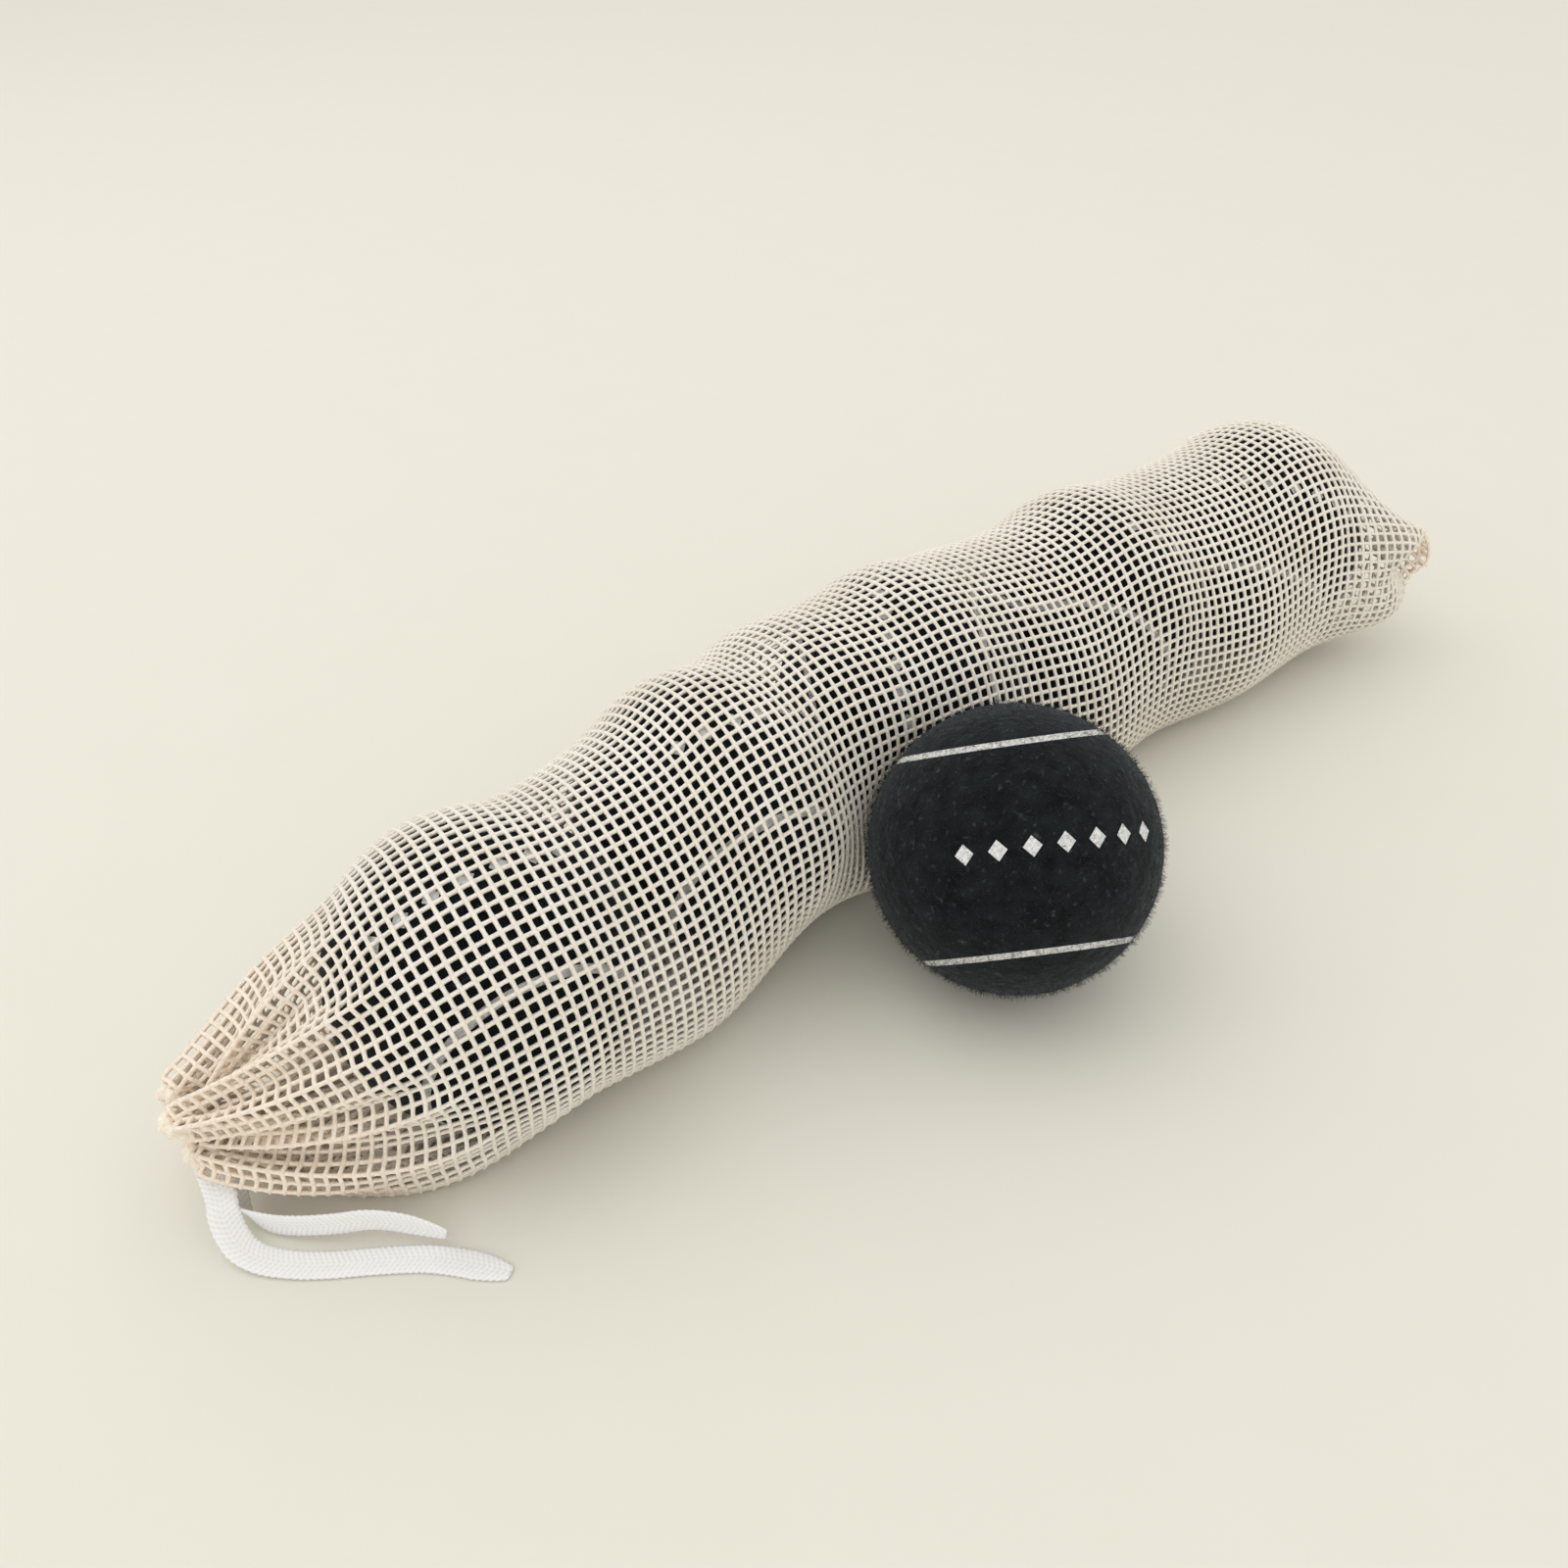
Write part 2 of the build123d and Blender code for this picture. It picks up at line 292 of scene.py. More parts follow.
@dataclass(frozen=True)
class CottonNetFinish:
    """Unbleached cotton cord of the net: cream, with painted warmth where the net is gathered,
    standing in for light bounced between its stacked folds.
    """

    name: str = "cotton_net_cord"
    pale: Colour = (0.93, 0.89, 0.81)
    shaded: Colour = (0.87, 0.82, 0.72)
    # Painted bounce light: warmer cream that stands in for light bounced between stacked folds of net.
    bounce_colour: Colour = (0.98, 0.87, 0.74)
    ply_shade: Colour = (0.84, 0.82, 0.79)
    ply_scale: float = 1500.0
    blotch_scale: float = 60.0
    relief: float = 0.00012
    roughness: float = 0.9

    def material(self) -> bpy.types.Material:
        """Makes the material of the cord, with its plies in relief.

        Returns:
            The material.
        """
        material, tree, shader, where = start_material(self.name)
        blotch = tree.noise(where, self.blotch_scale, 3)
        base = tree.ramp(blotch, [(0.32, self.shaded), (0.62, self.pale)])
        # Painted bounce light: the share of warmer cream, read from the points, stands in for light
        # bounced between stacked folds.
        bounce_share = tree.add("ShaderNodeAttribute", attribute_name="painted_bounce").outputs["Fac"]
        colour = tree.mix(bounce_share, base, (*self.bounce_colour, 1))
        plies = tree.noise(where, self.ply_scale, 2)
        shade = tree.ramp(plies, [(0.25, self.ply_shade), (0.6, (1.0, 1.0, 1.0))])
        tree.feed(tree.mix(1.0, colour, shade, "MULTIPLY"), shader, "Base Color")
        tree.feed(tree.bump(plies, self.relief, 0.7), shader, "Normal")
        values = {"Roughness": self.roughness, "Sheen Weight": 0.25, "Specular IOR Level": 0.15}
        set_inputs(shader, values)
        return material


@dataclass(frozen=True)
class FeltFinish:
    """Black needled felt with a faint blue-green cast and a dusty nap."""

    name: str = "black_felt"
    deep: Colour = (0.0028, 0.0034, 0.0040)
    raised: Colour = (0.0125, 0.0155, 0.0175)
    nap: Colour = (0.04, 0.047, 0.05)
    nap_scale: float = 700.0
    clump_scale: float = 240.0
    relief: float = 0.0006

    def material(self) -> bpy.types.Material:
        """Makes the material of the felt, with its clumps and fibres in relief.

        Returns:
            The material.
        """
        material, tree, shader, where = start_material(self.name)
        clumps = tree.noise(where, self.clump_scale, 4)
        fibres = tree.noise(where, self.nap_scale, 5)
        base = tree.ramp(clumps, [(0.3, self.deep), (0.72, self.raised)])
        tips = tree.ramp(fibres, [(0.6, (0.0, 0.0, 0.0)), (0.74, self.nap)])
        tree.feed(tree.mix(0.8, base, tips, "ADD"), shader, "Base Color")
        height = tree.math("ADD", clumps, tree.math("MULTIPLY", fibres, 0.6))
        tree.feed(tree.bump(height, self.relief, 0.9), shader, "Normal")
        values = {
            "Roughness": 0.95,
            "Sheen Weight": 0.12,
            "Sheen Roughness": 0.5,
            "Sheen Tint": (0.85, 0.95, 1.0, 1),
            "Specular IOR Level": 0.1,
        }
        set_inputs(shader, values)
        return material


@dataclass(frozen=True)
class MattFinish:
    """Plain matt stuff, mottled at one scale and slightly rough."""

    name: str
    light: Colour
    dark: Colour
    grain_scale: float = 900.0
    relief: float = 0.00015
    roughness: float = 0.85
    sheen: float = 0.0

    def material(self) -> bpy.types.Material:
        """Makes the material, with its grain in colour and relief.

        Returns:
            The material.
        """
        material, tree, shader, where = start_material(self.name)
        grain = tree.noise(where, self.grain_scale, 4)
        colour = tree.ramp(grain, [(0.35, self.dark), (0.65, self.light)])
        tree.feed(colour, shader, "Base Color")
        tree.feed(tree.bump(grain, self.relief, 0.6), shader, "Normal")
        values = {
            "Roughness": self.roughness,
            "Sheen Weight": self.sheen,
            "Specular IOR Level": 0.2,
        }
        set_inputs(shader, values)
        return material


@dataclass(frozen=True)
class TapeFinish:
    """Bleached woven tape: fine chevron ribs that follow its length."""

    name: str = "woven_tape"
    light: Colour = (0.93, 0.93, 0.93)
    dark: Colour = (0.83, 0.83, 0.82)
    rib: float = 0.0011
    slant: float = 0.55
    warp_share: float = 0.8
    fuzz_scale: float = 2500.0
    relief: float = 0.00016

    def material(self) -> bpy.types.Material:
        """Makes the material, with ribs on the tape's own map in metres along and across.

        Returns:
            The material.
        """
        material, tree, shader, where = start_material(self.name)
        chart = tree.add("ShaderNodeTexCoord").outputs["UV"]
        places = tree.add("ShaderNodeSeparateXYZ", {"Vector": chart})
        along, across = places.outputs["X"], places.outputs["Y"]
        fold = tree.math("ABSOLUTE", across)
        way = tree.math("ADD", along, tree.math("MULTIPLY", fold, self.slant))
        ribs = tree.math("SINE", tree.math("MULTIPLY", way, TURN / self.rib))
        warp = self.warp_share * self.rib
        cords = tree.math("SINE", tree.math("MULTIPLY", across, TURN / warp))
        weave = tree.math("ADD", ribs, tree.math("MULTIPLY", cords, 0.5))
        level = tree.math("MULTIPLY_ADD", weave, 0.3, 0.5)
        colour = tree.ramp(level, [(0.12, self.dark), (0.6, self.light)])
        fuzz = tree.noise(where, self.fuzz_scale, 2)
        tree.feed(colour, shader, "Base Color")
        height = tree.math("ADD", level, tree.math("MULTIPLY", fuzz, 0.4))
        tree.feed(tree.bump(height, self.relief, 0.8), shader, "Normal")
        values = {"Roughness": 0.85, "Sheen Weight": 0.2, "Specular IOR Level": 0.15}
        set_inputs(shader, values)
        return material


class GeometryTree(Tree):
    """Geometry tree with named inputs, and the way to bake it onto an object."""

    def __init__(self, name: str) -> None:
        """Starts an empty tree that takes and gives geometry.

        Args:
            name: Name of the tree.
        """
        super().__init__(bpy.data.node_groups.new(name, "GeometryNodeTree"))
        for way in ("INPUT", "OUTPUT"):
            self.tree.interface.new_socket(
                "Geometry", in_out=way, socket_type="NodeSocketGeometry"
            )
        self.start = self.add("NodeGroupInput")

    def input(self, name: str, kind: str, value: object) -> bpy.types.NodeSocket:
        """Adds a named input.

        Args:
            name: Name that the modifier shows.
            kind: Blender's name for the kind of socket.
            value: Value that it starts with.

        Returns:
            The socket inside the tree.
        """
        item = self.tree.interface.new_socket(name, in_out="INPUT", socket_type=kind)
        item.default_value = value
        return self.start.outputs[name]

    def end(self, made: bpy.types.NodeSocket, material: bpy.types.Material) -> None:
        """Makes the result real, smooth and of one material.

        Args:
            made: Socket that gives the finished geometry.
            material: Material for all of it.
        """
        soft = self.add("GeometryNodeSetShadeSmooth", {"Geometry": made})
        real = self.add("GeometryNodeRealizeInstances", {"Geometry": soft.outputs[0]})
        dress = {"Geometry": real.outputs[0], "Material": material}
        dressed = self.add("GeometryNodeSetMaterial", dress)
        self.add("NodeGroupOutput", {"Geometry": dressed.outputs[0]})

    def bake(self, source: bpy.types.Object, name: str, values: dict[str, object]) -> bpy.types.Object:
        """Runs the tree on an object and keeps the result as a plain mesh.

        Args:
            source: Object that the tree starts from; it is removed.
            name: Name of the finished piece.
            values: Value for each named input.

        Returns:
            The finished piece.
        """
        modifier = source.modifiers.new("growth", "NODES")
        modifier.node_group = self.tree
        items = self.tree.interface.items_tree
        sockets = {item.name: item.identifier for item in items if item.in_out == "INPUT"}
        for key, value in values.items():
            modifier[sockets[key]] = value
        bpy.context.view_layer.update()
        evaluated = source.evaluated_get(bpy.context.evaluated_depsgraph_get())
        mesh = bpy.data.meshes.new_from_object(evaluated)
        mesh.name = name
        source.modifiers.remove(modifier)
        bpy.data.objects.remove(source)
        made = bpy.data.objects.new(name, mesh)
        bpy.context.scene.collection.objects.link(made)
        return made


def cord_tree(material: bpy.types.Material) -> GeometryTree:
    """Builds the tree that thickens every run of a wire into a round cord.

    Args:
        material: Material of the cord.

    Returns:
        The tree.
    """
    tree = GeometryTree("net_cord")
    radius = tree.input("Cord Radius", "NodeSocketFloat", 0.0004)
    sides = tree.input("Sides", "NodeSocketInt", 6)
    line = tree.add("GeometryNodeMeshToCurve", {"Mesh": tree.start.outputs["Geometry"]})
    swell = tree.add("GeometryNodeInputNamedAttribute", {"Name": "swell"}, data_type="FLOAT")
    ring = tree.add("GeometryNodeCurvePrimitiveCircle", {"Resolution": sides, "Radius": radius})
    solid = tree.add(
        "GeometryNodeCurveToMesh",
        {
            "Curve": line.outputs[0],
            "Profile Curve": ring.outputs[0],
            "Scale": swell.outputs[0],
            "Fill Caps": True,
        },
    )
    tree.end(solid.outputs[0], material)
    return tree


def fuzz_tree(material: bpy.types.Material) -> GeometryTree:
    """Builds the tree that grows short bent fibres out of a surface.

    Args:
        material: Material of the fibres.

    Returns:
        The tree.
    """
    tree = GeometryTree("felt_fuzz")
    density = tree.input("Density", "NodeSocketFloat", 500000.0)
    length = tree.input("Fibre Length", "NodeSocketFloat", 0.002)
    radius = tree.input("Fibre Radius", "NodeSocketFloat", 0.00003)
    seed = tree.input("Seed", "NodeSocketInt", 1)
    floor_gap = tree.input("Floor Gap", "NodeSocketFloat", 0.003)
    spread = tree.add(
        "GeometryNodeDistributePointsOnFaces",
        {"Mesh": tree.start.outputs["Geometry"], "Density": density, "Seed": seed},
    )
    place = tree.add("GeometryNodeInputPosition").outputs[0]
    height = tree.add("ShaderNodeSeparateXYZ", {"Vector": place})
    clear = tree.math("GREATER_THAN", height.outputs["Z"], floor_gap)
    half = tree.math("MULTIPLY", length, 0.5)
    lean = tree.math("MULTIPLY", length, 0.35)
    middle = tree.add("ShaderNodeCombineXYZ", {"Z": half}).outputs[0]
    tip = tree.add("ShaderNodeCombineXYZ", {"X": half, "Y": lean, "Z": length}).outputs[0]
    bend = {"Resolution": 3, "Start": (0.0, 0.0, 0.0), "Middle": middle, "End": tip}
    hair = tree.add("GeometryNodeCurveQuadraticBezier", bend)
    ring = tree.add("GeometryNodeCurvePrimitiveCircle", {"Resolution": 3, "Radius": radius})
    fibre = tree.add(
        "GeometryNodeCurveToMesh",
        {"Curve": hair.outputs[0], "Profile Curve": ring.outputs[0], "Fill Caps": True},
    )
    swing = tree.add(
        "FunctionNodeRandomValue",
        {0: (-0.9, -0.9, 0.0), 1: (0.9, 0.9, TURN), "Seed": seed},
        data_type="FLOAT_VECTOR",
    )
    euler = tree.add("FunctionNodeEulerToRotation", {"Euler": swing.outputs[0]})
    turned = tree.add(
        "FunctionNodeRotateRotation",
        {"Rotation": spread.outputs["Rotation"], "Rotate By": euler.outputs[0]},
        rotation_space="LOCAL",
    )
    size = tree.add(
        "FunctionNodeRandomValue",
        {0: (0.35, 0.35, 0.35), 1: (1.3, 1.3, 1.3), "Seed": seed},
        data_type="FLOAT_VECTOR",
    )
    grown = tree.add(
        "GeometryNodeInstanceOnPoints",
        {
            "Points": spread.outputs["Points"],
            "Selection": clear,
            "Instance": fibre.outputs[0],
            "Rotation": turned.outputs[0],
            "Scale": size.outputs[0],
        },
    )
    tree.end(grown.outputs[0], material)
    return tree


# ---- the bag's layout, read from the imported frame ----


@dataclass
class BagLayout:
    """Where the balls, the gathered mouth and the sewn corners of the bag are."""

    hem_tube_radius: float = 0.0032
    ear_reach: float = 0.0465
    ear_spread_deg: float = 41.0
    seam_reach: float = 0.0358
    balls: dict[str, np.ndarray] = field(default_factory=dict)

    def __post_init__(self) -> None:
        """Reads the places of the balls and of the mouth from the frame."""
        for key in (*BAGGED, LOOSE):
            corners = [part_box(f"ball_{key}_felt_panel_{side}") for side in "ab"]
            low = np.min([np.array(low) for low, _ in corners], axis=0)
            high = np.max([np.array(high) for _, high in corners], axis=0)
            self.balls[key] = (low + high) / 2
        mount = frame["record"]["mounts"][0]
        self.mouth_axis = np.array(mount["axis"])
        self.hem = np.array(mount["pos_m"]) - self.mouth_axis * self.hem_tube_radius
        self.tail_axis = unit(self.balls["5"] - self.balls["4"])
        self.tail_side = np.cross(UP, self.tail_axis)

    def ear(self, side: int) -> np.ndarray:
        """Works out the tip of a bottom corner.

        Args:
            side: 1 for the corner on the +Y side, -1 for the one on the -Y side.

        Returns:
            Place of the tip.
        """
        angle = math.radians(self.ear_spread_deg)
        way = self.tail_axis * math.cos(angle) + self.tail_side * (side * math.sin(angle))
        return self.balls["5"] + way * self.ear_reach

    def spine(self) -> np.ndarray:
        """Corner points of the bag's middle line, from the hem to the bottom seam."""
        seam = self.balls["5"] + self.tail_axis * self.seam_reach
        return np.array([self.hem, *(self.balls[key] for key in BAGGED), seam])


# ---- the net: a tube of knots, settled over the balls ----


@dataclass
class NetCloth:
    """Square cotton mesh tube that is drawn over the balls and left to settle."""

    layout: BagLayout
    columns: int = 80
    pitch: float = 0.00272
    mouth_rows: int = 30
    ball_rows: int = 98
    tail_rows: int = 17
    ball_hold: float = 0.0336
    loose_hold: float = 0.0352
    floor_hold: float = 0.0007
    twist_deg: float = -24.0
    gather_radius: float = 0.0060
    gather_depth: float = 0.0036
    gather_lobes: int = 5
    gather_ripple: float = 0.0015
    tail_widening: float = 0.35
    fold_reach: float = 0.8
    fold_fade: float = 1.5
    unevenness: float = 0.0004
    grip: float = 0.6
    steps: int = 320
    passes: int = 9
    drag: float = 0.90
    gravity: float = 0.000012
    pinches: tuple[float, ...] = (-0.00003, -0.00012, -0.00006, -0.00006)
    tilts_deg: tuple[float, ...] = (0.0, 0.0, 14.0, 0.0)
    pinch_length: float = 0.011
    puff: float = 0.000010
    puff_reach: float = 0.036
    puff_length: float = 0.015
    lift: float = 0.000006
    tail_puff: float = 0.00005
    tail_puff_reach: float = 0.02
    fold_depth: float = 0.50
    squash_share: float = 0.85
    bend_rounds: int = 6
    tab_rows: int = 4
    tab_half: float = 0.0014
    bend_share: float = 0.12
    seed: int = 11

    @property
    def rows(self) -> int:
        """Number of rows of knots, from the hem to the bottom seam."""
        return self.mouth_rows + self.ball_rows + self.tail_rows

    def start(self) -> np.ndarray:
        """Places of the knots before they settle.

        Returns:
            Array of rows by columns by three.
        """
        spine = self.layout.spine()
        runs = np.linalg.norm(np.diff(spine, axis=0), axis=1)
        reach = np.concatenate([[0.0], np.cumsum(runs)])
        mouth, tail = reach[1], reach[-2]
        places = np.concatenate(
            [
                np.linspace(0, mouth, self.mouth_rows, endpoint=False),
                np.linspace(mouth, tail, self.ball_rows, endpoint=False),
                np.linspace(tail, reach[-1], self.tail_rows),
            ]
        )
        middle = np.stack([np.interp(places, reach, spine[:, i]) for i in range(3)], axis=1)
        axis = unit(np.gradient(middle, axis=0))
        for _ in range(self.bend_rounds):
            axis[1:-1] = unit(axis[:-2] + axis[1:-1] + axis[2:])
        axis[0] = -self.layout.mouth_axis
        axis[-1] = self.layout.tail_axis
        side = unit(np.cross(UP, axis))
        rise = np.cross(axis, side)
        full = self.columns * self.pitch / TURN
        opened = np.sqrt(np.clip(places / mouth, 0, 1))
        closed = np.clip((places - tail) / (reach[-1] - tail), 0, 1)
        round_share = np.sqrt(np.clip(1 - closed**2, 0, 1))
        cone = self.gather_radius + (full - self.gather_radius) * opened
        width = np.where(places < mouth, cone, full)
        height = width * round_share
        width = width * (1 + self.tail_widening * closed**2)
        turn = TURN * np.arange(self.columns) / self.columns
        lag = math.radians(self.twist_deg) * np.clip(1 - places / tail, 0, 1)
        angle = turn[None, :] + lag[:, None]
        fade = np.clip(1 - places / (self.fold_reach * mouth), 0, 1) ** self.fold_fade
        fold = 1 + self.fold_depth * fade[:, None] * self.fold_wave(angle)
        grid = (
            middle[:, None]
            + side[:, None] * (width[:, None] * fold * np.cos(angle))[..., None]
            + rise[:, None] * (height[:, None] * fold * np.sin(angle))[..., None]
        )
        chance = np.random.default_rng(self.seed)
        grid[2:-2] += chance.normal(0, self.unevenness, grid[2:-2].shape)
        grid[0] = self.gathered_ring(angle[0])
        return grid

    def gathered_ring(self, angle: np.ndarray) -> np.ndarray:
        """Draws the hem up in deep folds round the drawstring.

        Args:
            angle: Angles round the mouth.

        Returns:
            Place of the hem at each angle.
        """
        axis = -self.layout.mouth_axis
        side = unit(np.cross(UP, axis))
        rise = np.cross(axis, side)
        radius = self.gather_radius + self.gather_depth * self.fold_wave(angle)
        depth = self.gather_ripple * np.sin(self.gather_lobes * angle)
        return (
            self.layout.hem
            + side * (radius * np.cos(angle))[:, None]
            + rise * (radius * np.sin(angle))[:, None]
            + axis * depth[:, None]
        )

    def fold_wave(self, angle: np.ndarray) -> np.ndarray:
        """Height of the mouth's folds round it, about nought."""
        return 0.75 * np.cos(self.gather_lobes * angle + 0.8) + 0.35 * np.cos(2 * angle + 1.0)

    def corner_pins(self) -> dict[tuple[int, int], np.ndarray]:
        """Lays out the knots that form the two square corner tabs.

        Returns:
            Place of each such knot, by row and column.
        """
        pins = {}
        for side, column in ((1, 0), (-1, self.columns // 2)):
            tip = self.layout.ear(side)
            way = unit(tip - self.layout.balls["5"])
            for back in range(self.tab_rows):
                for beside in (-1, 0, 1):
                    place = tip - way * (self.pitch * back) + UP * (self.tab_half * beside * side)
                    pins[(-1 - back, (column + beside) % self.columns)] = place
        return pins

    def settle(self) -> np.ndarray:
        """Lets the net settle under its own weight and the pull of its folds.

        Returns:
            Places of the knots, rows by columns by three.
        """
        grid = self.start()
        before = grid.copy()
        hem = grid[0].copy()
        pairs = (-np.arange(self.columns)) % self.columns
        pins = self.corner_pins()
        pin_rows = np.array([row for row, _ in pins])
        pin_columns = np.array([column for _, column in pins])
        pin_places = np.array(list(pins.values()))
        balls = [(self.layout.balls[key], self.ball_hold) for key in BAGGED]
        balls.append((self.layout.balls[LOOSE], self.loose_hold))
        squeezes = self.squeezes()
        bulge = squeezes[-1][0]
        for step in range(self.steps):
            drift = (grid - before) * self.drag
            before = grid.copy()
            grid = grid + drift
            grid[..., 2] -= self.gravity
            along = (grid - bulge) @ self.layout.mouth_axis
            grid[..., 2] += self.lift * np.exp(-((along / self.puff_length) ** 2))
            for middle, axis, strength, reach in squeezes:
                away = grid - middle
                along = away @ axis
                off = away - along[..., None] * axis
                share = np.exp(-((along / reach) ** 2))
                grid = grid - unit(off) * (strength * share)[..., None]
            away = grid - self.layout.balls["5"]
            share = between(away @ self.layout.tail_axis, 0.0, self.tail_puff_reach)
            grid = grid + unit(away) * (self.tail_puff * share)[..., None]
            for _ in range(self.passes):
                self.pull(grid)
                grid[0] = hem
                last = grid[-1]
                grid[-1] = (last + last[pairs]) / 2
                grid[pin_rows, pin_columns] = pin_places
            for centre, hold in balls:
                away = grid - centre
                far = np.linalg.norm(away, axis=-1)
                inside = far < hold
                grid[inside] = centre + away[inside] * (hold / far[inside])[:, None]
                before[inside] += (grid[inside] - before[inside]) * self.grip
            low = grid[..., 2] < self.floor_hold
            grid[..., 2] = np.maximum(grid[..., 2], self.floor_hold)
            before[low] += (grid[low] - before[low]) * self.grip
        LOG.info("net settled in %d steps", self.steps)
        return grid

    def squeezes(self) -> list[tuple[np.ndarray, np.ndarray, float, float]]:
        """Where the net is drawn in between the balls, and held out behind the mouth.

        Returns:
            For each, its middle, its direction, the push inwards and its reach.
        """
        spots = [self.layout.balls[key] for key in BAGGED]
        made = []
        for first, second, push, tilt in zip(spots, spots[1:], self.pinches, self.tilts_deg):
            turn = math.radians(tilt)
            axis = unit(second - first) * math.cos(turn) + UP * math.sin(turn)
            made.append(((first + second) / 2, axis, push, self.pinch_length))
        bulge = spots[0] + self.layout.mouth_axis * self.puff_reach
        made.append((bulge, self.layout.mouth_axis, -self.puff, self.puff_length))
        return made

    def pull(self, grid: np.ndarray) -> None:
        """One pass over the cords of the net and their stiffness in bending.

        Args:
            grid: Places of the knots, changed in place.
        """
        for first in (0, 1):
            first_row, second_row = grid[first:-1:2], grid[first + 1 :: 2]
            self.join(first_row, second_row, self.pitch, 1.0, self.squash_share)
        turned = np.moveaxis(grid, 1, 0)
        for first in (0, 1):
            rolled = np.roll(turned, -first, axis=0)
            self.join(rolled[0::2], rolled[1::2], self.pitch, 1.0, self.squash_share)
            turned[:] = np.roll(rolled, first, axis=0)
        for first in (0, 1):
            double = 2 * self.pitch
            self.join(grid[first:-2:4], grid[first + 2 :: 4], double, 0.0, self.bend_share)
            rolled = np.roll(turned, -first * 2, axis=0)
            self.join(rolled[0:-2:4], rolled[2::4], double, 0.0, self.bend_share)
            turned[:] = np.roll(rolled, first * 2, axis=0)

    @staticmethod
    def join(
        first: np.ndarray, second: np.ndarray, length: float, taut: float, slack: float
    ) -> None:
        """Draws pairs of knots towards their distance apart.

        Args:
            first: Places of the first knot of each pair, changed in place.
            second: Places of the second, changed in place.
            length: Distance apart at rest.
            taut: Share of the error mended where a pair is too far apart.
            slack: Share mended where a pair is too close.
        """
        count = min(len(first), len(second))
        a, b = first[:count], second[:count]
        gap = b - a
        far = np.linalg.norm(gap, axis=-1, keepdims=True)
        share = np.where(far > length, taut, slack)
        move = gap * (0.5 * share * (far - length) / np.maximum(far, 1e-9))
        a += move
        b -= move


